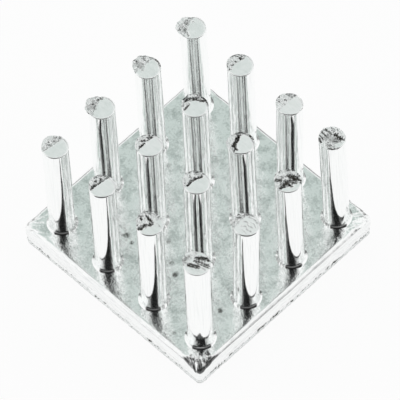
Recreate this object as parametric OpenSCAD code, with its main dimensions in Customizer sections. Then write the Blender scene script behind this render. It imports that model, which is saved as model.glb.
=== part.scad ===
// Pin fin heat sink: a square plate with a square array of round pins, cold forged in one piece.
// The part stands on its flat mounting face: +Z up, origin at the centre of that face, millimetres.
// The pins were sheared to height by a blade that travelled towards -X, so every pin end has a
// smooth cut zone and, past a chord, a lower torn zone with a lip pushed out towards -X.

/* [Plate] */
// Side of the square plate, measured over its upper half
plate_w = 20; // [18:0.5:40]
// Thickness of the plate
plate_h = 2.4; // [2:0.1:5]
// Radius of the plate's upright corners, upper half
corner_r = 0.55; // [0.55:0.05:1.2]
// Radius of the rolled edge round the plate's top
roll_r = 0.4; // [0.2:0.05:0.5]
// Height of the line where the two forging dies met
parting_h = 1.15; // [0.8:0.05:1.2]
// How far the lower half is set in from the upper half
parting_step = 0.12; // [0.06:0.02:0.2]

/* [Pins] */
// Distance from one pin's axis to the next
pin_pitch = 5.2; // [4:0.1:5.2]
// Diameter of a pin
pin_d = 2.16; // [1.5:0.02:2.6]
// Height of the pins above the plate
pin_h = 11.1; // [5:0.1:20]
// Radius of the hollow flare at a pin's foot
foot_r = 0.4; // [0.2:0.05:0.5]
// Shift of the whole array along Y from the plate's centre
array_shift = 0.2; // [-0.3:0.1:0.3]

/* [Sheared ends] */
// Tilt of the smooth cut zone, falling towards +X
cut_tilt = 1.5; // [0:0.5:4]
// Tilt of the torn zone, rising towards -X
torn_tilt = 6; // [0:1:12]
// Height of the lip that the blade pushed out
lip_h = 0.5; // [0.2:0.1:0.8]

/* [Hidden] */

pin_r = pin_d / 2;
// Radius of the plate's upright corners, lower half: crisper, and always inside the upper half's
low_corner_r = corner_r - 2 * parting_step;
// How far a pin's solid runs down into the plate
root = 0.6;
// How far the foot's hollow flare is sunk below the plate's top, so that it meets it at an angle
foot_sink = 0.05;
foot_out = pin_r + foot_r;
// Stock left above the finished height, which the end cuts take away
stock = 1;
// Size of the blocks that cut the ends
blade = 3 * pin_d;
// The lip is a cone of this share of the pin's radius
lip_share = 0.85;

// The array as it is seen from above: a row below runs along +X, and the rows follow each other
// along +Y. No two pins are alike, because each was cut and knocked about by itself.
// Lean of each tip along X, in millimetres
lean_x = [
    [-0.05, 0.05, 0.05, 0.05],
    [0, 0.05, 0, 0.35],
    [-0.05, 0.05, -0.05, -0.1],
    [-0.1, -0.05, 0.2, -0.35]
];
// Lean of each tip along Y, in millimetres
lean_y = [
    [0, -0.05, 0.05, 0],
    [-0.05, 0, 0.1, 0],
    [-0.05, -0.05, -0.05, -0.05],
    [-0.05, 0, 0, 0]
];
// Distance from the pin's axis to the chord where the metal began to tear, in pin radii
chord = [
    [0.3, 0.3, 0.05, 0.55],
    [0.3, 0.35, 0.25, 0.5],
    [0.3, 0.35, 0.25, -0.45],
    [0.3, 0.25, 0.2, -0.55]
];
// Turn of that chord about the pin's axis, in degrees
chord_turn = [
    [-5, -7, -18, 0],
    [21, 8, -7, 9],
    [0, -20, 30, -20],
    [22, 0, 4, -10]
];
// Drop of the torn zone at the chord, in millimetres
drop = [
    [0.12, 0.2, 0.3, 0.1],
    [0.15, 0.15, 0.25, 0.1],
    [0.2, 0.25, 0.2, 0.3],
    [0.15, 0.2, 0.12, 0.15]
];
// Reach of the pushed-out lip past the pin's side, in millimetres
lip = [
    [0.1, 0.1, 0.2, 0.2],
    [0.3, 0.1, 0.15, 0.1],
    [0.25, 0.15, 0.1, 0.1],
    [0.3, 0.1, 0.1, 0.05]
];
pins = len(lean_x);

$fn = 64;

// Half section of a slab's edge: upright side, rolled over at the top.
module edge_section(reach, height, roll) {
    square([reach, height - roll]);
    square([reach - roll, height]);
    translate([reach - roll, height - roll]) intersection() {
        circle(r = roll);
        square(roll);
    }
}

// Slab with rounded corners and a rolled top edge, made of a core, four edge bars and four corners.
module rolled_slab(side, height, corner, roll) {
    core = side - 2 * corner;
    translate([-core / 2, -core / 2, 0]) cube([core, core, height]);
    for (turn = [0 : 90 : 270]) rotate(turn) translate([core / 2, core / 2, 0]) {
        rotate([90, 0, 0]) linear_extrude(core) edge_section(corner, height, roll);
        rotate_extrude(angle = 90) edge_section(corner, height, roll);
    }
}

module rounded_square(side, corner) {
    core = side - 2 * corner;
    square([side, core], center = true);
    square([core, side], center = true);
    for (x = [-1, 1], y = [-1, 1]) translate([x * core / 2, y * core / 2]) circle(r = corner);
}

// The plate: the lower half is a little smaller than the upper one, as the two dies left it.
module plate() {
    linear_extrude(plate_h - roll_r) rounded_square(plate_w - 2 * parting_step, low_corner_r);
    translate([0, 0, parting_h]) rolled_slab(plate_w, plate_h - parting_h, corner_r, roll_r);
}

// A pin before it is cut to height: a straight shank that flares out where it grows from the plate.
module shank() {
    rotate_extrude() {
        translate([0, -root]) square([pin_r, root + pin_h + stock]);
        difference() {
            translate([0, -root]) square([foot_out, root + foot_r - foot_sink]);
            translate([foot_out, foot_r - foot_sink]) circle(r = foot_r);
        }
    }
}

// The metal that the blade dragged out over the pin's side.
module pushed_lip(reach) {
    lip_r = lip_share * pin_r;
    translate([lip_r - pin_r - reach, 0, pin_h - lip_h])
        cylinder(h = lip_h + stock, r1 = lip_r - reach, r2 = lip_r);
}

// Block of air above the cut: its lower face is the cut, its edge is the chord.
module air(to_chord) {
    translate([to_chord ? -blade : -blade / 2, -blade / 2, 0]) cube(blade);
}

// One sheared pin, standing on z = 0.
module pin(tip, chord_at, turn, torn_drop, lip_reach) {
    rotate([-atan(tip.y / pin_h), atan(tip.x / pin_h), 0]) difference() {
        union() {
            shank();
            rotate(turn) pushed_lip(lip_reach);
        }
        translate([0, 0, pin_h]) rotate([0, cut_tilt, 0]) air(to_chord = false);
        rotate(turn) translate([-chord_at * pin_r, 0, pin_h - torn_drop]) rotate([0, torn_tilt, 0])
            air(to_chord = true);
    }
}

module heat_sink() {
    color([0.84, 0.86, 0.86]) {
        plate();
        for (i = [0 : pins - 1], j = [0 : pins - 1])
            translate([(i - (pins - 1) / 2) * pin_pitch, (j - (pins - 1) / 2) * pin_pitch + array_shift, plate_h])
                pin([lean_x[j][i], lean_y[j][i]], chord[j][i], chord_turn[j][i], drop[j][i], lip[j][i]);
    }
}

heat_sink();
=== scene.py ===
# %% [markdown]
# # A cold forged pin fin heat sink
#
# The real thing is one piece of soft aluminium. A slug is pressed so hard that the metal flows up
# into a die as sixteen round pins, and what is left under them becomes a square plate. The pins come
# out at uneven lengths, so a blade shears them all to one height.
#
# The packed solid gives the size and the place. This lesson dresses it: one closed mesh with the
# marks that the press, the trimming and the shears leave, and one finish for each kind of surface.

import math

import bmesh
import bpy
from mathutils import Matrix, Vector, noise


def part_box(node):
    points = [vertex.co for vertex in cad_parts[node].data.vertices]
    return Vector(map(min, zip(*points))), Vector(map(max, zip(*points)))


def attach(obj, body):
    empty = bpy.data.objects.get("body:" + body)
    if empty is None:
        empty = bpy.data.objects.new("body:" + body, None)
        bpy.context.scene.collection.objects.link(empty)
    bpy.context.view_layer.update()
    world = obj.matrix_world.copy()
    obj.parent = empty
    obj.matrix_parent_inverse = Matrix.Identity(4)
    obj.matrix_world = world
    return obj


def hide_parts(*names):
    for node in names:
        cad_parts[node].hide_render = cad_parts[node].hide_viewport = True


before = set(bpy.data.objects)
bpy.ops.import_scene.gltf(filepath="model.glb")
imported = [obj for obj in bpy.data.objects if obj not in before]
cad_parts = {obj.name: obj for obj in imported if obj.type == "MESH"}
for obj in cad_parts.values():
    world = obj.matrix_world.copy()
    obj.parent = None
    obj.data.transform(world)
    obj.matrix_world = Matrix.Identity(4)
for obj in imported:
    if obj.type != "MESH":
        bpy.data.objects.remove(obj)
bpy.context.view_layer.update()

low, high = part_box("heat_sink")
plate_w = high.x - low.x
print(f"the plate is {plate_w * 1000:.1f} mm square and the sink {high.z * 1000:.2f} mm tall")

# %% [markdown]
# ## Driving sizes
#
# Everything is measured in cells, and a cell is a two hundredth of the plate's side. The plate's skin
# is a grid of such cells, so whole numbers of cells put each pin's outline on grid lines. Metres
# would do as well, but then every size would need its own rounding to the grid.

# %% Sizes in cells
EDGE = 100  # half of the plate's side
cell = plate_w / (2 * EDGE)
TOP = 24  # height of the plate's top
ROLL = 4  # radius of the rolled top edge
CORNER = 94.5  # where the plate's rounded corners have their centres
PARTING = 11.5  # height of the line where the dies met
BAND = 5.2  # top of the rough band where the flash was trimmed off
PINS = 4  # in each row and each column
PITCH = 52
ARRAY_SHIFT = 2
PIN_HALF = 14  # half of the square of cells that becomes a pin
PIN_R = 10.8
FLARE_R = 4  # radius of the hollow flare round a pin's foot
FLARE_H = 3.5
FOOT_R = PIN_R + FLARE_R - math.sqrt(FLARE_R ** 2 - FLARE_H ** 2)
PIN_H = high.z / cell - TOP
HAIR = 0.01  # a difference too small to count


def pin_centre(column, row):
    """The axis of a pin, in cells."""
    middle = (PINS - 1) / 2
    return (column - middle) * PITCH, (row - middle) * PITCH + ARRAY_SHIFT


print(f"a cell is {cell * 1000:.2f} mm; the pins stand {PIN_H:.1f} cells out of the plate")

# %% [markdown]
# ## Camera
#
# The sink is seen from high over one corner with a long lens, and the camera is rolled a few degrees,
# so the pins lean to the left. The camera could be placed by eye, but its axes are worked out from
# three angles here, and the lens from how large a pitch should look.

# %% Camera
AZIMUTH, ELEVATION, LENS_ROLL = math.radians(47.1), math.radians(57.6), math.radians(-3.1)
DISTANCE = 86  # from the aim to the lens, in pitches
PICTURE_W = 400  # steps across the finished picture
PITCH_SEEN = 65.3  # how many of them a pitch takes up, square on
AIM_RIGHT, AIM_DOWN = 2.6, 17.9  # how far the aim is from the middle of the pins, in steps

camera_distance = DISTANCE * PITCH * cell
to_camera = Vector((
    math.sin(AZIMUTH) * math.cos(ELEVATION),
    -math.cos(AZIMUTH) * math.cos(ELEVATION),
    math.sin(ELEVATION),
))
level = Vector((0, 0, 1)).cross(to_camera).normalized()
upright = to_camera.cross(level)
right = math.cos(LENS_ROLL) * level + math.sin(LENS_ROLL) * upright
up = to_camera.cross(right)

middle_of_pins = Vector((0, ARRAY_SHIFT, TOP + PIN_H / 2)) * cell
picture_step = PITCH * cell / PITCH_SEEN
aim = middle_of_pins + right * AIM_RIGHT * picture_step - up * AIM_DOWN * picture_step

camera = bpy.data.objects.new("camera", bpy.data.cameras.new("camera"))
camera.matrix_world = Matrix.Translation(aim + to_camera * camera_distance) @ Matrix(
    (right, up, to_camera)).transposed().to_4x4()
camera.data.sensor_width = 36
camera.data.lens = camera.data.sensor_width / PICTURE_W * camera_distance / picture_step
camera.data.clip_end = 10
bpy.context.scene.collection.objects.link(camera)
bpy.context.scene.camera = camera
bpy.context.scene.view_settings.view_transform = "Standard"
print(f"the lens is {camera.data.lens:.0f} mm, {camera_distance * 1000:.0f} mm away")

# %% [markdown]
# ## Shader maths as Python
#
# A material is a graph of nodes, and long sums are hard to read as nodes. `Wire` stands for what comes
# out of a node, so that `1 - mask * 0.5` adds the Math nodes by itself.

# %% A wire that can be used in sums


class Wire:
    """One output of a node, which can be used in arithmetic."""

    def __init__(self, bench, socket):
        self.bench, self.socket = bench, socket

    def math(self, operation, first, second):
        return self.bench.add("ShaderNodeMath", {"operation": operation}, {0: first, 1: second})

    def __add__(self, other):
        return self.math("ADD", self, other)

    def __sub__(self, other):
        return self.math("SUBTRACT", self, other)

    def __rsub__(self, other):
        return self.math("SUBTRACT", other, self)

    def __mul__(self, other):
        return self.math("MULTIPLY", self, other)

    def __truediv__(self, other):
        return self.math("DIVIDE", self, other)

    __radd__ = __add__
    __rmul__ = __mul__

    def at_least(self, other):
        return self.math("MAXIMUM", self, other)

    def root(self):
        return self.bench.add("ShaderNodeMath", {"operation": "SQRT"}, {0: self})

    def rise(self, start, end):
        """A smooth rise from 0 to 1 between two values of this wire."""
        return self.bench.add("ShaderNodeMapRange", {"interpolation_type": "SMOOTHSTEP"},
                              {0: self, 1: start, 2: end})

    def along(self, direction):
        """How far this vector reaches along a direction."""
        return self.bench.add("ShaderNodeVectorMath", {"operation": "DOT_PRODUCT"},
                              {0: self, 1: direction}, out="Value")


print("a wire knows", sum(callable(value) for value in vars(Wire).values()), "ways to be used")

# %% [markdown]
# `Bench` is where the nodes of one material are put together. Its `add` makes any node and is the only
# place that does, and the short methods under it name the few that come back often.

# %% A bench for the nodes of one material


class Bench:
    """Where a material's or the world's nodes are put together."""

    def __init__(self, owner):
        owner.use_nodes = True
        self.tree = owner.node_tree
        self.tree.nodes.clear()

    def add(self, kind, settings=None, inputs=None, out=0):
        """Add a node: its settings first, then the values or wires of its sockets."""
        node = self.tree.nodes.new(kind)
        for name, value in (settings or {}).items():
            if name == "stops":
                ramp = node.color_ramp.elements
                while len(ramp) < len(value):
                    ramp.new(0.5)
                for stop, (place, grey) in zip(ramp, value):
                    stop.position, stop.color = place, (grey, grey, grey, 1)
            else:
                setattr(node, name, value)
        for name, value in (inputs or {}).items():
            if isinstance(value, Wire):
                self.tree.links.new(value.socket, node.inputs[name])
            else:
                node.inputs[name].default_value = value
        return Wire(self, node.outputs[out]) if node.outputs else node

    def ramp(self, wire, *stops):
        """A value sent through stops, each a place and the grey that it gives."""
        return self.add("ShaderNodeValToRGB", {"stops": stops}, {0: wire})

    def blend(self, factor, first, second):
        """Two colours mixed: the first where the factor is 0, and the second where it is 1."""
        return self.add("ShaderNodeMix", {"data_type": "RGBA"}, {0: factor, 6: first, 7: second}, out=2)

    def shine(self, colour, strength):
        """Light given off: an Emission shader."""
        return self.add("ShaderNodeEmission", inputs={"Color": colour, "Strength": strength})

    def mix_shaders(self, factor, first, second):
        return self.add("ShaderNodeMixShader", inputs={0: factor, 1: first, 2: second})

    def finish(self, surface, kind="ShaderNodeOutputMaterial"):
        self.add(kind, inputs={"Surface": surface})


WHITE = (1, 1, 1, 1)
print("the bench is ready, and white is", WHITE)

# %% [markdown]
# ## Light
#
# Bare bright metal has almost no colour of its own: it shows what stands round it. The sink stands in
# a white light tent. Lamps and cards could be set round it, but a tent is only a picture of the
# directions, so the world's own nodes draw it. A patch is a round spot of the tent, given by where it
# is and how wide it is.

# %% Directions and patches of the tent
world = bpy.data.worlds.new("light tent")
bpy.context.scene.world = world
tent = Bench(world)
look = tent.add("ShaderNodeTexCoord", out="Generated")


def towards(azimuth, elevation):
    """Direction from the sink: azimuth 0 is -Y and 90 is +X, both in degrees."""
    a, e = math.radians(azimuth), math.radians(elevation)
    return Vector((math.sin(a) * math.cos(e), -math.cos(a) * math.cos(e), math.sin(e)))


def patch(azimuth, elevation, radius, soft):
    """1 inside a round patch of the tent and 0 outside it, with a soft edge, in degrees."""
    inner, outer = (math.cos(math.radians(radius + side * soft / 2)) for side in (-1, 1))
    return look.along(towards(azimuth, elevation)).rise(outer, inner)


FRONT = towards(50, 0)
print("the lens looks in from", [round(c, 2) for c in FRONT])

# %% [markdown]
# The lens looks in through a dark slot, and whoever holds it stands there too, so the dark reaches down
# to the table. It makes the feet of the pins black, because the plate in front of them mirrors it. The
# slot is two patches with a softer one round them. The holder is as wide as an angle round the sink,
# so how far a direction looks ahead is divided by how level it is.

# %% The dark slot and the one who holds the lens
height = tent.add("ShaderNodeSeparateXYZ", inputs={0: look}, out="Z")
around = look.along(FRONT) / (1 - height * height).root()
holder = around.rise(0.4, 0.56) * (1 - height.rise(0.66, 0.82)) * (height.rise(0.25, 0.42) * 0.12 + 0.88)
slot = patch(47, 57.6, 20, 5).at_least(patch(47, 74, 14, 8)).at_least(patch(47, 57.6, 26, 8) * 0.6)
slot = slot.at_least(holder)
print("the slot and its holder are in front")

# %% [markdown]
# The back of the tent is a little greyer, as no lamp reaches it. The table's things stand along its
# foot as a dark skirting, in four soft patches, which draw the dark streaks down the pins.

# %% The dim back and the skirting
dim = patch(227, 57.6, 10, 27)
skirting = patch(193, 8, 20, 12) * 0.8
skirting = skirting.at_least(patch(228, 5, 20, 14) * 0.6).at_least(patch(256, 8, 18, 12) * 0.6)
skirting = skirting.at_least(patch(190, 19, 16, 12) * 0.65)
print("the back is dim, with a skirting of 4 patches")

# %% [markdown]
# The tent's brightness is 1 where nothing stands in it, so that a colour shows about as it is written.
# The lens itself sees plain white behind the sink.

# %% The tent's light
SLOT_LIGHT, DIM_LIGHT, TENT_LIGHT = 0.015, 0.62, 1.0
DIM_TINT = (0.89, 1.0, 0.96, 1)
UNDER_SHADE = 0.3  # how much darker the tent is below the table's level

light = TENT_LIGHT - dim * (TENT_LIGHT - DIM_LIGHT)
light = light * (1 - skirting) * (1 - (0 - height).rise(0.05, 0.5) * UNDER_SHADE)
light = light * (1 - slot) + slot * SLOT_LIGHT
tint = tent.blend(dim, WHITE, DIM_TINT)
tent.finish(
    tent.mix_shaders(
        tent.add("ShaderNodeLightPath", out="Is Camera Ray"),
        tent.add("ShaderNodeBackground", inputs={"Color": tint, "Strength": light}),
        tent.add("ShaderNodeBackground", inputs={"Color": WHITE, "Strength": TENT_LIGHT}),
    ),
    "ShaderNodeOutputWorld",
)
print(len(tent.tree.nodes), "nodes draw the tent")

# %% [markdown]
# ## Floor
#
# A sheet of white paper. The camera and the metal both see it as plain white, and a share of it is
# ordinary lit paper, which keeps a faint shadow under the plate. Beyond the view, under the slot, a
# dark cloth lies on it, which only the metal shows. A second sheet could be the cloth, but its edge
# would be hard, so the paper's own material fades into it.

# %% Floor
PAPER_W = plate_w * 60
PAPER_SHARE = 0.06  # how much of it is ordinary lit paper
CLOTH_LIGHT = 0.07

bpy.ops.mesh.primitive_plane_add(size=PAPER_W)
paper = bpy.context.object
paper.name = "paper"
sheet = bpy.data.materials.new("white paper")
bench = Bench(sheet)
seen, mirrored, through = (bench.add("ShaderNodeLightPath", out=f"Is {ray} Ray")
                           for ray in ("Camera", "Glossy", "Transmission"))
spot = bench.add("ShaderNodeTexCoord", out="Object")
far = bench.add("ShaderNodeVectorMath", {"operation": "LENGTH"}, {0: spot}, out="Value")
cloth = (spot.along(FRONT) / far).rise(0.36, 0.64) * far.rise(1.025 * plate_w, 1.25 * plate_w)
lit = bench.add("ShaderNodeBsdfDiffuse", inputs={"Color": WHITE})
glow = bench.mix_shaders(cloth * mirrored, bench.shine(WHITE, 1.0), bench.shine(WHITE, CLOTH_LIGHT))
bench.finish(bench.mix_shaders((seen + mirrored + through) * (1 - PAPER_SHARE), lit, glow))
paper.data.materials.append(sheet)
print(f"the paper is {PAPER_W:.1f} m wide")

# %% [markdown]
# ## The blank: a grid and sixteen pulled blocks
#
# The mesh starts the way the forging does. A flat grid is the top of the plate. Cylinders could be
# joined to it, but then a seam would run round every foot, and here plate and pins are one skin.

# %% Grid
FLAT = EDGE - ROLL

bm = bmesh.new()
bmesh.ops.create_grid(bm, x_segments=2 * FLAT, y_segments=2 * FLAT, size=FLAT,
                      matrix=Matrix.Translation((0, 0, TOP)))
print(f"the grid has {len(bm.faces)} cells")

# %% [markdown]
# Sixteen square blocks of cells are pulled up in one extrusion and become the pins. The new walls are
# then cut into rings, which can take the shape of the foot and the shank.

# %% Pull the pins
RINGS = 15


def nearest_pin(x, y):
    """Column and row of the pin that is nearest to a point in cells."""
    middle = (PINS - 1) / 2
    column = min(max(round(x / PITCH + middle), 0), PINS - 1)
    row = min(max(round((y - ARRAY_SHIFT) / PITCH + middle), 0), PINS - 1)
    return column, row


def in_block(face):
    """Whether a cell of the grid lies in a block that becomes a pin."""
    x, y, _ = face.calc_center_median()
    px, py = pin_centre(*nearest_pin(x, y))
    return max(abs(x - px), abs(y - py)) < PIN_HALF


block = [f for f in bm.faces if in_block(f)]
borders = {e for f in block for e in f.edges} | {v for f in block for v in f.verts}
pulled = bmesh.ops.extrude_face_region(bm, geom=block + list(borders))["geom"]
bmesh.ops.translate(bm, verts=[v for v in pulled if isinstance(v, bmesh.types.BMVert)],
                    vec=(0, 0, PIN_H))
walls = [e for e in bm.edges if abs(e.verts[0].co.z - e.verts[1].co.z) > PIN_H / 2]
bmesh.ops.subdivide_edges(bm, edges=walls, cuts=RINGS - 1, use_grid_fill=True)
print(f"{len(walls)} upright edges, cut into {RINGS} rings")

# %% [markdown]
# ## The plate's edge
#
# The top edge is rolled over because the metal doesn't quite fill the die's corner. Below it the wall
# steps in at the parting line, where the two halves of the die met, and near the bottom is the rough
# band where the squeezed-out flash was trimmed. A bevel would round the edge alone, so the whole side
# is drawn as one section: half the plate's width, and the height there, ring by ring.

# %% Section of the edge
ROLL_STEPS = 6
arc = [math.pi / 2 * step / ROLL_STEPS for step in range(1, ROLL_STEPS + 1)]
rolled = [(FLAT + ROLL * math.sin(a), TOP - ROLL * (1 - math.cos(a))) for a in arc]
upper_wall = [(100.0, 17.5), (100.0, 15), (100.0, 13)]
parting_step = [(99.8, PARTING + 0.4), (98.8, PARTING - 0.5), (98.7, 9), (98.7, 7)]
trimmed_band = [(98.8, 5.6), (99.2, 4.8), (99.3, 3.6), (99.2, 2.4), (98.9, 1.2)]
bottom_edge = [(98.5, 0.3), (97.8, 0), (94, 0)]
section = rolled + upper_wall + parting_step + trimmed_band + bottom_edge
print(f"the section has {len(section)} points")

# %% [markdown]
# The rim of the grid is extruded from one point of the section to the next and scaled to its width.
# One face closes the underside, which is flat.

# %% Wall and underside


def rim_edges():
    """The open edges of the skin."""
    return [e for e in bm.edges if e.is_boundary]


size_now, height_now = FLAT, TOP
for size_next, height_next in section:
    new = bmesh.ops.extrude_edge_only(bm, edges=rim_edges())["geom"]
    verts = [v for v in new if isinstance(v, bmesh.types.BMVert)]
    grow = size_next / size_now
    bmesh.ops.scale(bm, verts=verts, vec=(grow, grow, 1))
    bmesh.ops.translate(bm, verts=verts, vec=(0, 0, height_next - height_now))
    size_now, height_now = size_next, height_next
underside = bmesh.ops.edgeloop_fill(bm, edges=rim_edges())["faces"]
print(f"{len(section)} rings of {8 * FLAT} vertices, and {len(underside)} face underneath")

# %% [markdown]
# ## Which finish goes where
#
# The skin is still made of flat blocks, so this is the moment to sort its faces. Their heights say
# enough, and nothing has to be picked by hand.

# %% Sort the faces by finish
PRESSED, ROLLED, DRAWN, SHEARED, TORN = KINDS = range(5)


def finish_of(face):
    """The finish of a face, from its height."""
    z = face.calc_center_median().z
    if z > TOP + PIN_H - HAIR:
        return SHEARED
    if z > TOP + HAIR:
        return DRAWN
    if z > TOP - HAIR or z < HAIR:
        return PRESSED
    return ROLLED if z > BAND else TORN


for face in bm.faces:
    face.material_index = finish_of(face)
print([sum(f.material_index == kind for f in bm.faces) for kind in KINDS], "faces of each finish")

# %% [markdown]
# ## Square to round
#
# Both the pins and the plate's corners are still square. Round pins could be cut out of the grid, but
# their rims would cross the cells. Instead, each point keeps its ring of cells and moves to an even
# angle on it, so that a square's rings turn into circles.

# %% From a square to a circle


def on_disc(u, v):
    """Which ring of a square a point is on, and the even angle that it gets on the circle."""
    ring = max(abs(u), abs(v))
    if ring == 0:
        return 0.0, 0.0
    if abs(u) >= abs(v):
        return ring, math.pi / 4 * v / u + (0 if u > 0 else math.pi)
    return ring, math.pi / 2 - math.pi / 4 * u / v + (0 if v > 0 else math.pi)


def smooth(value, start, end):
    """0 before start, 1 after end, and a smooth rise between them."""
    t = min(max((value - start) / (end - start), 0), 1)
    return t * t * (3 - 2 * t)


print(f"a square's corner lands {math.degrees(on_disc(1, 1)[1]):.0f} degrees round")

# %% [markdown]
# The plate's four corners are quarter circles, so each takes a quarter of such a disc.

# %% Round the plate's corners


def round_corner(co):
    """Move a point of the plate's square outline onto its rounded corner."""
    u, v = abs(co.x) - CORNER, abs(co.y) - CORNER
    if u > 0 and v > 0:
        ring, angle = on_disc(u, v)
        co.x = math.copysign(CORNER + ring * math.cos(angle), co.x)
        co.y = math.copysign(CORNER + ring * math.sin(angle), co.y)


for v in bm.verts:
    round_corner(v.co)
print(f"the plate's corners have a radius of {EDGE - CORNER} cells")

# %% [markdown]
# ## Every pin by itself
#
# No two pins are alike. Each leans a little, and each was torn by the blade in its own way: it cuts
# cleanly from the +X side up to a chord, and there the rest of the pin tears off and leaves a lower,
# ragged zone with a lip that hangs out over the side. Chance could draw these values, but the real
# pins have a look of their own, so they are listed for each pin.

# %% How each pin differs
# Rows run along +X and follow each other along +Y, as the array is seen from above.
LEAN_X = ((-0.5, 0.5, 0.5, 0.5), (0, 0.5, 0, 3.5), (-0.5, 0.5, -0.5, -1), (-1, -0.5, 2, -3.5))
LEAN_Y = ((0, -0.5, 0.5, 0), (-0.5, 0, 1, 0), (-0.5, -0.5, -0.5, -0.5), (-0.5, 0, 0, 0))
# From a pin's axis to its chord, in pin radii, and the chord's turn about the axis, in degrees.
CHORD = ((0.3, 0.3, 0.05, 0.55), (0.3, 0.35, 0.25, 0.5), (0.3, 0.35, 0.25, -0.45), (0.3, 0.25, 0.2, -0.55))
CHORD_TURN = ((-5, -7, -18, 0), (21, 8, -7, 9), (0, -20, 30, -20), (22, 0, 4, -10))
# How far the torn zone drops at the chord, and how far the lip stands out.
DROP = ((1.2, 2, 3, 1), (1.5, 1.5, 2.5, 1), (2, 2.5, 2, 3), (1.5, 2, 1.2, 1.5))
LIP = ((1, 1, 2, 2), (3, 1, 1.5, 1), (2.5, 1.5, 1, 1), (3, 1, 1, 0.5))


def of_pin(table, pin):
    """The value of a table for a pin, given as (column, row)."""
    return table[pin[1]][pin[0]]


def seed_of(pin):
    """A number of its own for each pin."""
    return pin[0] + PINS * pin[1]


def rough(x, y, z=0.0, seed=0.0):
    """Smooth random relief between about -1 and 1, a different one for each seed."""
    return noise.noise(Vector((x + 17.3 * seed, y - 9.1 * seed, z + 5.7 * seed)))


print("tables for", len(LEAN_X) * len(LEAN_X[0]), "pins")

# %% [markdown]
# ## Foot and shank
#
# The foot flares out where the metal flowed from the plate into the die's hole. The shank is drawn
# through the hole, so its faint flats and grooves run straight up. Its radius could come from a curve
# and a lathe, but the lip stands out on one side only, so the radius is worked out for each angle.

# %% Radius of a shank
LIP_H = 5
LIP_SHARE = 0.85  # the lip is as round as a circle of this share of the pin's radius
FLATS, GROOVES = 0.08, 0.03  # how deep they are


def lip_push(angle, pin):
    """How far the lip stands out of the shank at an angle."""
    reach = of_pin(LIP, pin)
    away = angle - math.pi - math.radians(of_pin(CHORD_TURN, pin))
    offset = (1 - LIP_SHARE) * PIN_R + reach
    across = max((LIP_SHARE * PIN_R) ** 2 - (offset * math.sin(away)) ** 2, 0)
    push = max(offset * math.cos(away) + math.sqrt(across) - PIN_R, 0)
    return push * (1 + 0.6 * rough(3 * math.cos(angle), 3 * math.sin(angle), 0, seed_of(pin) + 0.3))


def shank_radius(height, angle, pin):
    """Radius of a pin in cells, at a height over the plate and an angle round its axis."""
    seed = seed_of(pin)
    flare = FLARE_R - math.sqrt(FLARE_R ** 2 - max(FLARE_H - height, 0) ** 2)
    flats = FLATS * rough(1.3 * math.cos(angle), 1.3 * math.sin(angle), height / 60, seed)
    grooves = GROOVES * rough(4 * math.cos(angle), 4 * math.sin(angle), height / 90, seed + 0.5)
    lip = lip_push(angle, pin) * smooth(height, PIN_H - LIP_H - 3, PIN_H - 1)
    return PIN_R + flare + (flats + grooves) * smooth(height, 0, FLARE_H) + lip


print(f"halfway up, the first pin's radius is {shank_radius(PIN_H / 2, 0, (0, 0)):.2f} cells")

# %% [markdown]
# Every point of a block now gets its angle and its radius. The rings are close together at the foot
# and at the rim, where the form changes. On the plate, the cells round a foot go from round to square.

# %% Shape the feet and shanks
RING_HEIGHTS = (0, 0.4, 0.9, 1.6, 2.5, FLARE_H, 12, 24, 40, 60, 80, 96, 103, 108, PIN_H - 0.7, PIN_H)
ROUND_UNTIL, SQUARE_FROM = 16, 25  # rings of cells round a pin's axis
SPREAD = 1.1  # how far apart those rings are at the foot
CALM_EDGE = 94  # nothing moves on the plate's top from here to its rolled edge


def shape_pin(co):
    """Turn a block's square section into the pin's round one, or into the rings round its foot."""
    pin = nearest_pin(co.x, co.y)
    px, py = pin_centre(*pin)
    ring, angle = on_disc(co.x - px, co.y - py)
    height = co.z - TOP
    if height > HAIR:
        height = RING_HEIGHTS[round(height / PIN_H * RINGS)]
        r = shank_radius(height, angle, pin) * ring / PIN_HALF
        keep = 1.0
    else:
        r = FOOT_R + (ring - PIN_HALF) * SPREAD
        keep = 1 - smooth(ring, ROUND_UNTIL, SQUARE_FROM)
        keep = keep * (1 - smooth(max(abs(co.x), abs(co.y)), CALM_EDGE, FLAT))
    there = Vector((px + r * math.cos(angle), py + r * math.sin(angle), TOP + height))
    return co.lerp(there, keep)


for v in bm.verts:
    if v.co.z > TOP - HAIR and max(abs(v.co.x), abs(v.co.y)) < FLAT - HAIR:
        v.co = shape_pin(v.co)
print("the pins are round")

# %% [markdown]
# ## Sheared ends
#
# A pin's end has a clean cut and a torn zone, with a step between them at the chord. The step could be
# a bump in the material, but it casts shade and shows at the rim, so the mesh has it. Two straight
# cuts across every end mark where the clean cut stops and how steep the step is.

# %% Cut the chords
CHORD_STEP = 0.4


def local(co, pin):
    """Distance past a pin's chord, and place along it."""
    px, py = pin_centre(*pin)
    turn = math.radians(of_pin(CHORD_TURN, pin))
    x, y = co.x - px, co.y - py
    past = -(x * math.cos(turn) + y * math.sin(turn)) - of_pin(CHORD, pin) * PIN_R
    return past, -x * math.sin(turn) + y * math.cos(turn)


pins = [(column, row) for row in range(PINS) for column in range(PINS)]
ends = {pin: [] for pin in pins}
for face in bm.faces:
    if face.material_index == SHEARED:
        x, y, _ = face.calc_center_median()
        ends[nearest_pin(x, y)].append(face)

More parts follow.
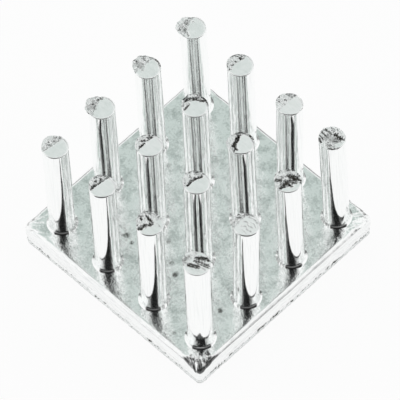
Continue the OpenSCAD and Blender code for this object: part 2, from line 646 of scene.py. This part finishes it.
for pin in pins:
    turn = math.radians(of_pin(CHORD_TURN, pin))
    across = Vector((-math.cos(turn), -math.sin(turn), 0))
    start = Vector((*pin_centre(*pin), 0)) + across * of_pin(CHORD, pin) * PIN_R
    faces = ends[pin]
    for step in (0, CHORD_STEP):
        geom = set(faces) | {e for f in faces for e in f.edges} | {v for f in faces for v in f.verts}
        cut = bmesh.ops.bisect_plane(bm, geom=list(geom), plane_co=start + across * step, plane_no=across,
                                     dist=0.05)
        faces = [f for f in cut["geom"] if isinstance(f, bmesh.types.BMFace)]
    ends[pin] = faces
print(sum(len(faces) for faces in ends.values()), "faces on the ends")

# %% [markdown]
# What lies past the chord is torn metal. It gets four times as many faces as the clean cut, for its
# slabs and crevices. Two pins carry strokes of painted shade all over their ends, so their clean zones
# are divided too.

# %% Divide the torn zones
PAINTED_SHADE_ALL_OVER = [(3, 0), (3, 1)]

fine_faces = []
for pin in pins:
    for face in ends[pin]:
        past, _ = local(face.calc_center_median(), pin)
        if past > 0:
            face.material_index = TORN
        if past > CHORD_STEP or pin in PAINTED_SHADE_ALL_OVER:
            fine_faces.append(face)
inner = {e for f in fine_faces for e in f.edges
         if all(g.material_index in (SHEARED, TORN) for g in e.link_faces)}
bmesh.ops.subdivide_edges(bm, edges=list(inner), cuts=1, use_grid_fill=True)
print(f"{len(fine_faces)} faces were divided; the skin has {len(bm.faces)} faces")

# %% [markdown]
# ## Crevices and their painted shade
#
# Painted shade sits in the crevices of an end: shade and dark reflections fall there, and that black is
# painted into the colour. Noise alone would put them anywhere, so each pin has its own short strokes:
# the points that a stroke runs through, then its half width and how black its painted shade is. The
# painted shade is kept as an attribute of the mesh, which the materials read.

# %% Crevices of each pin
# The last number of each stroke is painted shade: how black the crevice is painted.
CREVICES = {
    (0, 0): (((-4, -8), (-2.5, 2), (-2, 9), 0.8, 0.45), ((-7.5, -7), (-6.5, -6.5), 1.5, 0.3),
             ((-7, 6), (-6, 6.5), 1.5, 0.35)),
    (1, 0): (((-4, -8), (-5, -4.5), (-4.5, 2), 1.2, 1), ((-4.5, 2), (-3.5, 9.5), 0.7, 0.7),
             ((-8.5, 0.5), (-8, 1), 1, 0.9), ((-6.5, 4.5), (-5.5, 4.5), 0.9, 0.9),
             ((-6, -3.5), (-5, -0.5), 1, 0.8)),
    (2, 0): (((-3, -7.5), (-3, -3), (0.5, 1), 2.3, 1),
             ((-8, 4.5), (-3.5, 3.5), (-0.5, 3.5), 1.1, 1), ((-10, 0), (-9.5, 0), 1.2, 0.7),
             ((-0.5, 3.5), (4, 4.5), (8.5, 4), 1, 0.3)),
    (3, 0): (((-3.5, 3.5), (2, 8), 1.9, 1), ((2, 8), (5, 8.5), 1, 0.9),
             ((-3.5, 0.5), (3, 3.5), (8.5, 5), 0.9, 0.75),
             ((-1.5, 0), (5, 2.2), (9.5, 3.5), 0.8, 0.6), ((-3.5, -5), (0, -3), (2.5, -2), 2, 0.85),
             ((1, -2), (8, 0.5), 0.8, 0.4), ((0, -6), (7, -3), 2.6, 0.16),
             ((-9.5, -5.5), (-9.5, 0.5), 1.4, 0.45)),
    (0, 1): (((-8, -5.5), (-5.5, -1.5), 3, 0.35), ((-9.5, 0), (-3.5, -4.5), 2, 0.4),
             ((-8, 3.5), (-7.5, 4), 1.1, 0.6), ((-6, 6), (-5.5, 6), 1.1, 0.6)),
    (1, 1): (((-4, -5.5), (-4.5, -1), 1, 1), ((-4.5, 3), (-4.5, 8), 0.8, 0.8),
             ((-7.5, -0.5), (-6.5, 1.5), 1, 1), ((-7, 7), (-6.5, 7), 0.9, 0.6)),
    (2, 1): (((-3.5, -7), (-4, -2.5), 1.3, 1), ((-4.5, -1), (-3.5, 3), (-2, 6.5), 1.9, 1),
             ((-9, 1.5), (-7, 1), 0.7, 0.5)),
    (3, 1): (((-8, -9), (-9.5, -1), (-5.5, 10), 1, 0.35), ((-4, 7), (0, 8.5), (5, 7.5), 0.7, 0.35),
             ((-4, 1), (-1, 2.5), (2, 0.5), (5.5, 1.5), 0.6, 0.35),
             ((-2.5, -3.5), (1, -1.5), (4, -3), (8, -2), 0.6, 0.3),
             ((1, 4.5), (4, 5), (7, 3.5), 0.6, 0.3), ((0, -6), (3, -5.5), (6, -6.5), 0.6, 0.25)),
    (0, 2): (((-10, -1.5), (-2.5, -2.5), 2.8, 0.4), ((-8, 4.5), (-7.5, 4.5), 1.1, 0.6),
             ((-4.5, 4.5), (-3.5, 4.5), 1.1, 0.6), ((-7.5, 0), (-3.5, 1), 1.1, 0.4),
             ((-1, 10.3), (2.5, 10.3), (5.5, 9.2), 0.8, 0.8)),
    (1, 2): (((-6, 4.5), (-2, 6.5), (1, 7.5), 1.8, 1), ((-10, -0.5), (-8.5, 2.5), 1.4, 0.9),
             ((-3.5, -8), (-4.5, -2), 1, 0.9), ((-10, -2.5), (-7, -6.5), 1.2, 0.4),
             ((-2, 10.2), (2.5, 10.3), (6.5, 8.6), 1, 0.9)),
    (2, 2): (((-7, 5), (-5, 1), (-3.5, -4.5), 1.7, 1), ((-3.5, -4.5), (2, -7), 1.1, 0.9),
             ((-12, 2.5), (-9, 6), 0.8, 0.6), ((-0.5, 10.4), (3.5, 9.8), 0.8, 0.8)),
    (3, 2): (((-3, 5.5), (2, 6.5), 2.2, 1), ((1, 7.5), (6.5, 8.5), 1.1, 1),
             ((-0.5, 2), (5.5, 4), 1.4, 0.8), ((0, -7.5), (-1, -1), 1.9, 1),
             ((-2, -0.5), (5, -1.5), 1.4, 0.9), ((-9, -6.5), (-6, -2), 1.4, 0.8),
             ((-3.5, -5), (-3.5, 0.5), 0.7, 0.6), ((7.5, 6), (9.5, 6), 0.9, 0.9)),
    (0, 3): (((-8, -0.5), (-7.5, 1), 1.4, 0.5), ((-4, 4.5), (-3.5, 4.5), 1.1, 0.5),
             ((-7, -5), (-2.5, -4), 2, 0.35), ((-3, -4.5), (3, -8), 1.2, 0.5)),
    (1, 3): (((-5.5, 5.5), (-3.5, 5.5), 1.3, 0.8), ((-6, 1), (-5.5, 1), 1.1, 0.7),
             ((-5.5, -4.5), (-5.5, -2.5), 1, 0.7), ((-4, -8), (-3, -8), 0.9, 0.7),
             ((-8.5, -7), (-7, -7.5), 0.8, 0.6)),
    (2, 3): (((-12, -2.5), (-11.5, -0.5), 0.9, 0.9), ((-7, 7), (-4.5, 7), 1.2, 0.4),
             ((10.5, 2), (10, 4.5), 0.7, 0.6)),
    (3, 3): (((-1, 4.5), (3, 5), (7, 5.5), 1.4, 1), ((-4.5, -3), (5.5, 2.5), 3.2, 0.42),
             ((1.5, -6.5), (6.5, -4.5), 2, 0.42), ((4.5, -8.5), (8, -7), (11, -3.5), 1.2, 0.9),
             ((-10, -4.5), (-5, -5), 0.8, 0.75), ((-10.5, -1), (-4, -1.5), 0.8, 0.7),
             ((-9.5, 2.5), (-3.5, 3), 0.9, 0.7), ((-7.5, -7.5), (-4.5, -8), 1, 0.8)),
}
print(sum(len(strokes) for strokes in CREVICES.values()), "crevices on the ends")

# %% [markdown]
# A stroke is measured as the distance from its line, and noise makes that distance uncertain, so its
# edge is ragged.

# %% Painted shade in the crevices


def near_stroke(x, y, points, half):
    """1 on a stroke and 0 away from it, with a ragged edge."""
    nearest = 99.0
    for (x1, y1), (x2, y2) in zip(points, points[1:]):
        run = Vector((x2 - x1, y2 - y1))
        here = Vector((x - x1, y - y1))
        share = min(max(here.dot(run) / run.length_squared, 0), 1)
        nearest = min(nearest, (here - run * share).length)
    ragged = 0.7 * rough(x / 1.3, y / 1.3, half) + 0.6 * rough(x / 0.6, y / 0.6, half)
    return 1 - smooth(nearest / half + ragged, 0.4, 1.15)


def painted_crevice_shade(x, y, pin):
    """Painted shade: blackness of a point on a pin's end, measured from the pin's axis."""
    return max(near_stroke(x, y, points, half) * black for *points, half, black in CREVICES[pin])


print(f"the third pin of the first row is {painted_crevice_shade(-3, -3, (2, 0)):.2f} black in its crevice")

# %% [markdown]
# The clean cut falls a little towards the side where the blade came in, and on some pins towards the
# back as well. Its rim is rolled down on the +Y side. The torn zone lies lower, broken into slabs.
# Sculpting each end would take long and couldn't be changed later, so a few tables and noise make
# the height of every point.

# %% Height of an end
CUT_TILT = math.tan(math.radians(1.5))
TORN_TILT = math.tan(math.radians(6))
FACING = ((0, 7, 4, 0), (0, 7, 3, 9), (0, 0, 7, 0), (0, 0, 9, 0))  # degrees of fall towards -X, +Y
ROLLED_RIM = ((0.5, 0.4, 0.3, 0.2), (0.5, 0.4, 0.4, 0.3), (1.1, 1.3, 1.0, 0.3), (0.4, 0.4, 0.3, 0.3))
CREVICE_DEPTH = 0.9
SLABS, SLAB_H = 3, 2.2


def terraces(value, count, softness):
    """Turn a smooth slope into slabs with soft steps between them."""
    value = value * count
    whole = math.floor(value)
    return (whole + smooth(value - whole, 1 - softness, 1)) / count


def clean_height(x, y, pin):
    """Height of the clean cut, measured from the pin's axis and its nominal height."""
    seed = seed_of(pin)
    reach = math.hypot(x, y)
    rim = reach / PIN_R
    to_plus_y = max(0, y / max(reach, 0.1))
    down = 0.25 * smooth(rim, 0.92, 1.02)
    down += of_pin(ROLLED_RIM, pin) * 1.3 * to_plus_y ** 2 * smooth(rim, 0.8, 1.0)
    dents = 0.05 * rough(x / 3, y / 3, 0, seed) + 0.04 * rough(x / 9, y / 2, 1, seed)
    facing = math.tan(math.radians(of_pin(FACING, pin))) * (y - x) / math.sqrt(2)
    return -CUT_TILT * x - facing - down + dents


def torn_height(past, along, pin):
    """Height of the torn zone, at a distance past the chord and a place along it."""
    seed = seed_of(pin)
    slabs = terraces(0.5 + 0.7 * rough(past / 6, along / 4.5, 0, seed + 0.1), SLABS, 0.35) - 0.4
    crevice = math.exp(-(past / 1.6) ** 2) * (0.5 + 0.9 * rough(along / 2.5, 0, 0, seed + 0.2))
    crumbs = rough(past / 1.4, along / 1.1, 0, seed + 0.4)
    return -of_pin(DROP, pin) + TORN_TILT * past + SLAB_H * slabs - 0.9 * crevice + 0.4 * crumbs


def end_height(co, pin):
    """Height of a point on a pin's end over the pin's nominal height."""
    px, py = pin_centre(*pin)
    x, y = co.x - px, co.y - py
    past, along = local(co, pin)
    clean = past < 0.5 * CHORD_STEP
    height = clean_height(x, y, pin) if clean else torn_height(past, along, pin)
    return height - CREVICE_DEPTH * painted_crevice_shade(x, y, pin)


print(f"the first pin's torn zone starts {-torn_height(CHORD_STEP, 0, (0, 0)):.1f} cells down")

# %% [markdown]
# The chord was cut straight, and torn metal never breaks along a straight line. Points near it are
# bowed and shaken sideways, which is simpler than cutting along a crooked line.

# %% Shake the chord and set the heights
BOW = ((0, 0, 0, 0), (2.5, 0.5, 0.5, 0), (0.5, 2, 0, 0), (1.5, 0.5, 0.5, 0))  # towards the torn side
SHAKEN, BOWED = 3.2, 6  # how far from the chord the points move


def ragged_chord(co, pin):
    """How a point near the chord moves, so that the chord is bowed and ragged."""
    seed = seed_of(pin)
    px, py = pin_centre(*pin)
    past, along = local(co, pin)
    rim = math.hypot(co.x - px, co.y - py) / PIN_R
    turn = math.radians(of_pin(CHORD_TURN, pin))
    shake = 0.8 * rough(along / 2.2, 0, 0, seed + 0.6) + 0.5 * rough(along / 0.9, 3, 0, seed + 0.6)
    shake *= 1 - smooth(abs(past), 0, SHAKEN)
    shake += of_pin(BOW, pin) * (0.6 - (along / PIN_R) ** 2) * (1 - smooth(abs(past), 0, BOWED))
    shake *= 1 - smooth(rim, 0.85, 1)
    return Vector((-math.cos(turn) * shake, -math.sin(turn) * shake, 0))


# A mesh attribute of blackness: painted shade in the ends' crevices, and on the plate its specks, burrs
# and a darker bottom strip.
grime = bm.verts.layers.float.new("grime")
end_faces = [f for f in bm.faces
             if f.material_index in (SHEARED, TORN) and f.calc_center_median().z > TOP + 1]
end_verts = {v for f in end_faces for v in f.verts}
for v in end_verts:
    pin = nearest_pin(v.co.x, v.co.y)
    px, py = pin_centre(*pin)
    step = Vector((0, 0, end_height(v.co, pin)))
    v.co += ragged_chord(v.co, pin)
    v.co += step
    # The attribute takes the crevice's painted shade.
    v[grime] = painted_crevice_shade(v.co.x - px, v.co.y - py, pin)
print(f"{len(end_verts)} points on the ends were moved")

# %% [markdown]
# ## Leaning
#
# Handling knocked the soft pins about. A pin leans as a whole, so its end tilts with it. Turning each
# pin about its foot would tear it off the plate, so its points are moved in proportion to their height.

# %% Lean the pins
for v in bm.verts:
    height = v.co.z - TOP
    if height > HAIR:
        pin = nearest_pin(v.co.x, v.co.y)
        px, py = pin_centre(*pin)
        share = min(height / PIN_H, 1)
        lean_x, lean_y = of_pin(LEAN_X, pin), of_pin(LEAN_Y, pin)
        tilt = (lean_x * (v.co.x - px) + lean_y * (v.co.y - py)) / PIN_H
        v.co += Vector((lean_x * share, lean_y * share, -tilt * share))
print("the pins lean")

# %% [markdown]
# ## The plate's own relief
#
# The plate is not quite flat: the press leaves soft dents and wrinkles that run into the corners,
# where the metal had farthest to flow and slumps away. A bump in the material can't slump, because
# the outline would stay square, so this relief moves the mesh. A corner's signs of x and y name it.

# %% Relief of the plate's top
SLUMP = {(1, -1): 5.8, (1, 1): 1.2, (-1, -1): 1.2, (-1, 1): 1.0}
WRINKLES = {(1, -1): 0.6, (1, 1): 1.5, (-1, -1): 0.8, (-1, 1): 1.1}
SLUMP_R = 15  # how far in from the tip of a corner the slump begins
WRINKLE_R = 46  # how far from the corner the wrinkles reach
FAN = 6  # how far outside the corner the wrinkles run together
UPPER = 12  # height at which the sides begin to take part


def top_relief(x, y, z):
    """How far a point of the plate's upper half sinks, in cells."""
    corner = Vector((EDGE - abs(x), EDGE - abs(y))).length
    inward = (2 * EDGE - abs(x) - abs(y)) / math.sqrt(2)
    quarter = (1 if x > 0 else -1, 1 if y > 0 else -1)
    seed = quarter[0] + 3 * quarter[1]
    fan = math.atan2(EDGE + FAN - abs(y), EDGE + FAN - abs(x))
    share = smooth(z, UPPER, TOP)
    facet = max(1 - inward / SLUMP_R, 0)
    down = SLUMP[quarter] * (facet + 0.07 * smooth(facet, 0, 0.3) * rough(x / 1.3, y / 1.3, 0, 11)) * share
    wrinkle = rough(8 * fan, corner / 25, 0, seed)
    wrinkle += 0.5 * rough(19 * fan, corner / 12, 0, seed + 0.5)
    sand = rough(x / 1.9, y / 1.9, 0, 12)
    down += (WRINKLES[quarter] * wrinkle + 0.2 * sand) * (1 - smooth(corner, 6, WRINKLE_R)) * share
    down += (0.12 * rough(x / 22, y / 22, 0, 3) + 0.05 * rough(x / 5, y / 5, 0, 4)) * share
    px, py = pin_centre(*nearest_pin(x, y))
    beside_foot = smooth(math.hypot(x - px, y - py), FOOT_R, FOOT_R + 4)
    return down * beside_foot if z > TOP - 1 else down


print(f"the slumped corner sinks {top_relief(EDGE - 2, 2 - EDGE, TOP):.1f} cells near its tip")

# %% [markdown]
# Trimming the flash leaves a jagged band round the foot of the plate, and the sides above it are
# faintly wavy. Each point moves straight out of its side, or out of the corner's centre.

# %% Relief of the plate's sides
BAND_REACH = 6.5  # height up to which the jags reach


def plate_relief(co):
    """How a point of the plate moves, in cells."""
    x, y, z = co
    reach = max(abs(x), abs(y))
    sideways = 0.25 * rough(x / 30, y / 30, z / 3, 5) * smooth(reach, FLAT, EDGE - 1)
    sideways += 0.12 * rough(x / 8, y / 8, z / 0.9, 6) * smooth(reach, FLAT, EDGE - 1)
    jag = 0.0
    if 0.1 < z < BAND_REACH:
        jag = 0.45 * rough(x / 3, y / 3, z / 1.2, 7) + 0.3 * rough(x / 1.2, y / 1.2, z, 8)
        jag *= smooth(reach, FLAT, EDGE - 2)
    out = Vector((x if abs(x) > CORNER else 0, y if abs(y) > CORNER else 0, 0))
    out = out.normalized() * (sideways * 0.6 + jag - 0.15) if out.length > 0 else out
    down = top_relief(x, y, z) if z > BAND_REACH else 0.4 * jag * (z > 0.5)
    return out - Vector((0, 0, down))


print("a point on the side moves", [round(c, 2) for c in plate_relief(Vector((EDGE, 0, BAND)))])

# %% [markdown]
# Dark specks are pressed into the plate's top, and the trimmed band carries dark burrs. A few specks
# are listed one by one, because noise would either hide them or strew them evenly.

# %% Grime and darkening on the plate
# For every speck: x, y, radius and blackness.
SPECKS = (
    (13, -43, 2.2, 0.35), (22.5, -48.5, 2.4, 0.45), (72, -48, 1.9, 0.45), (60, -88, 2.0, 0.3),
    (-32, -49, 2.6, 0.45), (-24, -51, 1.8, 0.4), (-68, -52, 2.2, 0.3), (-3, -30, 2.0, 0.3),
    (52, -8, 1.8, 0.25), (-54, 22, 2.2, 0.25), (12, 52, 2.0, 0.25), (84, 30, 1.6, 0.3),
)
SPECK_GROWTH, SPECK_BLACK = 1.25, 1.4
# The strip under the band is painted darker.
BOTTOM_DARKENING = 0.25  # blackness under the band


def speck_grime(x, y):
    """Blackness of a point on the plate's top."""
    def near(sx, sy, radius, black):
        away = math.hypot(x - sx, y - sy) / (SPECK_GROWTH * radius)
        return 1 - smooth(away + 0.3 * rough(x / 1.5, y / 1.5, 0, black), 0.5, 1.2)
    return max(SPECK_BLACK * speck[3] * near(*speck) for speck in SPECKS)


def darkness_on_plate(co):
    """Blackness of a point on the plate: specks on its top, burrs along its trimmed band, and a darker
    strip under it.
    """
    x, y, z = co
    if z > TOP - 1:
        return speck_grime(x, y)
    if 3 < z < 7.5 and max(abs(x), abs(y)) > FLAT:
        burr = 0.8 * rough(x / 9, y / 9, z / 2, 9) + 0.9 * rough(x / 1.6, y / 1.6, z / 1.3, 10)
        burr += 0.2 * (x > 90)
        return smooth(burr, 0.1, 0.7) * (1 - smooth(abs(z - 5.4), 0.5, 2))
    return BOTTOM_DARKENING if 0.1 < z <= 3 else 0.0


for v in bm.verts:
    if v.co.z < TOP + HAIR:
        v[grime] = darkness_on_plate(v.co)
        v.co += plate_relief(v.co)
print(f"the plate has its dents, slumped corners, trimmed band and {len(SPECKS)} specks")

# %% [markdown]
# ## Sharp and smooth
#
# Only real creases stay sharp: the chords, the torn slabs, the parting line and the ring where a foot
# meets the plate. The rim of an end is rolled by the blade, so it is shaded smooth. Auto smooth by
# angle would get the rims and the feet wrong, so the two kinds of face at an edge have a say too.

# %% Creases
CREASE = math.radians(38)

bmesh.ops.recalc_face_normals(bm, faces=bm.faces)
bmesh.ops.scale(bm, verts=bm.verts, vec=(cell, cell, cell))
for face in bm.faces:
    face.smooth = True
for edge in bm.edges:
    kinds = {face.material_index for face in edge.link_faces}
    edge.smooth = edge.calc_face_angle(0) < CREASE or kinds == {SHEARED, DRAWN}
    edge.smooth = edge.smooth and kinds != {PRESSED, DRAWN}
open_edges = sum(not e.is_manifold for e in bm.edges)
print(sum(not e.smooth for e in bm.edges), "edges are creases, and", open_edges, "are open")

# %% [markdown]
# The finished skin becomes an object at the origin, as a packed node is.

# %% The forging
skin = bpy.data.meshes.new("forging")
bm.to_mesh(skin)
bm.free()
forging = bpy.data.objects.new("forging", skin)
bpy.context.scene.collection.objects.link(forging)
print(sum(len(p.vertices) - 2 for p in skin.polygons), "triangles")

# %% [markdown]
# ## Bright aluminium
#
# All finishes are the same bare metal. They differ in how rough they are, in the relief that is too
# fine for the mesh, and in which way its marks run: along the edges, up the pins, or along the
# blade's path over the ends. Images could be wrapped round the skin, but noise that reads the
# object's own coordinates has no seams.

# %% A bare metal and its grain
BRIGHT = (0.985, 1.0, 0.995, 1)
BLACK = (0.045, 0.042, 0.036, 1)


def metal(name, build):
    """A bare metal material: build gives its colour, roughness and bump height in metres."""
    material = bpy.data.materials.new(name)
    bench = Bench(material)
    place = bench.add("ShaderNodeTexCoord", out="Object")
    colour, roughness, height = build(bench, place)
    bump = bench.add("ShaderNodeBump", inputs={"Strength": 1.0, "Distance": 1.0, "Height": height})
    bench.finish(bench.add("ShaderNodeBsdfPrincipled", inputs={
        "Base Color": colour, "Metallic": 1.0, "Roughness": roughness, "Normal": bump}))
    return material


def grain(bench, place, size, stretch=(1, 1, 1), detail=2.0, harsh=0.5):
    """Noise between 0 and 1 whose spots are about size metres, drawn out along an axis."""
    scale = tuple(1 / (size * s) for s in stretch)
    moved = bench.add("ShaderNodeMapping", inputs={"Vector": place, "Scale": scale})
    return bench.add("ShaderNodeTexNoise", {"noise_dimensions": "3D"},
                     {"Vector": moved, "Scale": 1.0, "Detail": detail, "Roughness": harsh})


print("bright aluminium is", BRIGHT[:3])

# %% [markdown]
# The blackness that the mesh carries is soft: painted shade in the crevices of the ends, grime in the
# plate's specks and burrs, and a darker strip along its bottom. Fine crumbs of noise break it up, and
# then it covers the metal's colour.

# %% Grime and painted shade on the metal


def crumbs_of(bench, place):
    """The fine crumbs of torn metal."""
    return grain(bench, place, 0.00012, detail=4, harsh=0.65)


def with_grime_and_shade(bench, colour, crumbs):
    """A colour with the mesh's grime and painted shade on it, which crumbs break up."""
    amount = bench.add("ShaderNodeAttribute", {"attribute_name": "grime"}, out="Fac")
    spread = bench.ramp(amount * (crumbs * 4.0 - 1.05), (0.12, 0), (0.8, 1))
    return bench.blend(spread, colour, BLACK)


print("grime is", BLACK[:3])

# %% [markdown]
# ## Pressed plate
#
# The die pressed the plate flat. Its surface is bright, with a cloudy grain like frost, in three
# sizes. A single noise would look like cast iron, so the three are added up, and the same sum drives
# the colour and, in other shares, the relief.

# %% Pressed plate


def pressed(bench, place):
    cloud = grain(bench, place, 0.0011, detail=3)
    spots = grain(bench, place, 0.0003, detail=3)
    fine = grain(bench, place, 0.00013, detail=3, harsh=0.6)
    tone = bench.ramp(cloud * 0.45 + spots * 0.2 + fine * 0.35, (0.36, 0), (0.54, 1))
    colour = bench.blend(tone, (0.6, 0.63, 0.62, 1), BRIGHT)
    height = cloud * 1.5e-5 + spots * 1.4e-5 + fine * 1.1e-5
    return with_grime_and_shade(bench, colour, fine), 0.07 + spots * 0.08, height


skin.materials.append(metal("pressed aluminium", pressed))
print("the plate is pressed")

# %% [markdown]
# ## Rolled edge
#
# The plate's sides slid along the die, which drew fine lines round them. Stretching the noise along
# both level axes gives lines that run level on all four sides.

# %% Rolled edge


def rolled_edge(bench, place):
    streaks = grain(bench, place, 0.00008, stretch=(12, 12, 1), detail=3)
    cloud = grain(bench, place, 0.0008, detail=3)
    tone = bench.ramp(streaks, (0.3, 0), (0.5, 1))
    colour = bench.blend(tone, (0.84, 0.86, 0.86, 1), (0.975, 0.985, 0.98, 1))
    return with_grime_and_shade(bench, colour, cloud), 0.16 + cloud * 0.12, streaks * 6e-6 + cloud * 8e-6


skin.materials.append(metal("rolled aluminium", rolled_edge))
print("the edge is rolled")

# %% [markdown]
# ## Drawn pins
#
# The shanks are the brightest part, and their marks run straight up, because the metal was pushed out
# of the die that way. An anisotropic shine would show the same, but it can't be baked, so long broad
# ripples and long fine lines bend the reflection instead.

# %% Drawn pins


def drawn_pin(bench, place):
    broad = grain(bench, place, 0.0005, stretch=(1, 1, 16))
    fine = grain(bench, place, 0.00009, stretch=(1, 1, 40))
    tone = bench.ramp(fine, (0.3, 0), (0.5, 1))
    colour = bench.blend(tone, (0.92, 0.935, 0.93, 1), (0.98, 0.99, 0.985, 1))
    return colour, 0.05 + broad * 0.06, broad * 8e-6 + fine * 1.0e-6


skin.materials.append(metal("drawn aluminium", drawn_pin))
print("the pins are drawn")

# %% [markdown]
# ## Sheared ends
#
# The blade left a satin cut with faint scratches along its path, which is the X axis. A smoother metal
# would mirror the dark slot, so this finish is the roughest.

# %% Sheared ends


def sheared_end(bench, place):
    scratch = grain(bench, place, 0.00009, stretch=(9, 1, 1), detail=3, harsh=0.6)
    cloud = grain(bench, place, 0.0005, detail=3)
    tone = bench.ramp(scratch * 0.6 + cloud * 0.4, (0.3, 0), (0.6, 1))
    colour = bench.blend(tone, (0.88, 0.905, 0.895, 1), BRIGHT)
    height = scratch * 2.5e-6 + cloud * 1e-5
    # Painted shade from the crevices darkens this colour.
    return with_grime_and_shade(bench, colour, crumbs_of(bench, place)), 0.32 + cloud * 0.1, height


skin.materials.append(metal("sheared aluminium", sheared_end))
print("the ends are sheared")

# %% [markdown]
# ## Torn metal
#
# Torn metal is broken into crumbs and little slabs that face every way. The mesh has the large slabs,
# and the crumbs are too fine for it, so a strong bump makes them.

# %% Torn metal


def torn_metal(bench, place):
    crumbs = crumbs_of(bench, place)
    slabs = grain(bench, place, 0.00035, stretch=(0.6, 1.6, 1))
    colour = bench.blend(bench.ramp(crumbs, (0.35, 0), (0.6, 1)), (0.66, 0.69, 0.68, 1), BRIGHT)
    # Painted shade from the crevices darkens this colour, and on the plate's band its burrs and darker
    # bottom strip.
    return with_grime_and_shade(bench, colour, crumbs), 0.22 + crumbs * 0.2, crumbs * 3e-5 + slabs * 3e-5


skin.materials.append(metal("torn aluminium", torn_metal))
print(len(skin.materials), "finishes on the skin")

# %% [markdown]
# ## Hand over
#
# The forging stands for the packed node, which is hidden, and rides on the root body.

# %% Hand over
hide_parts("heat_sink")
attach(forging, "root")
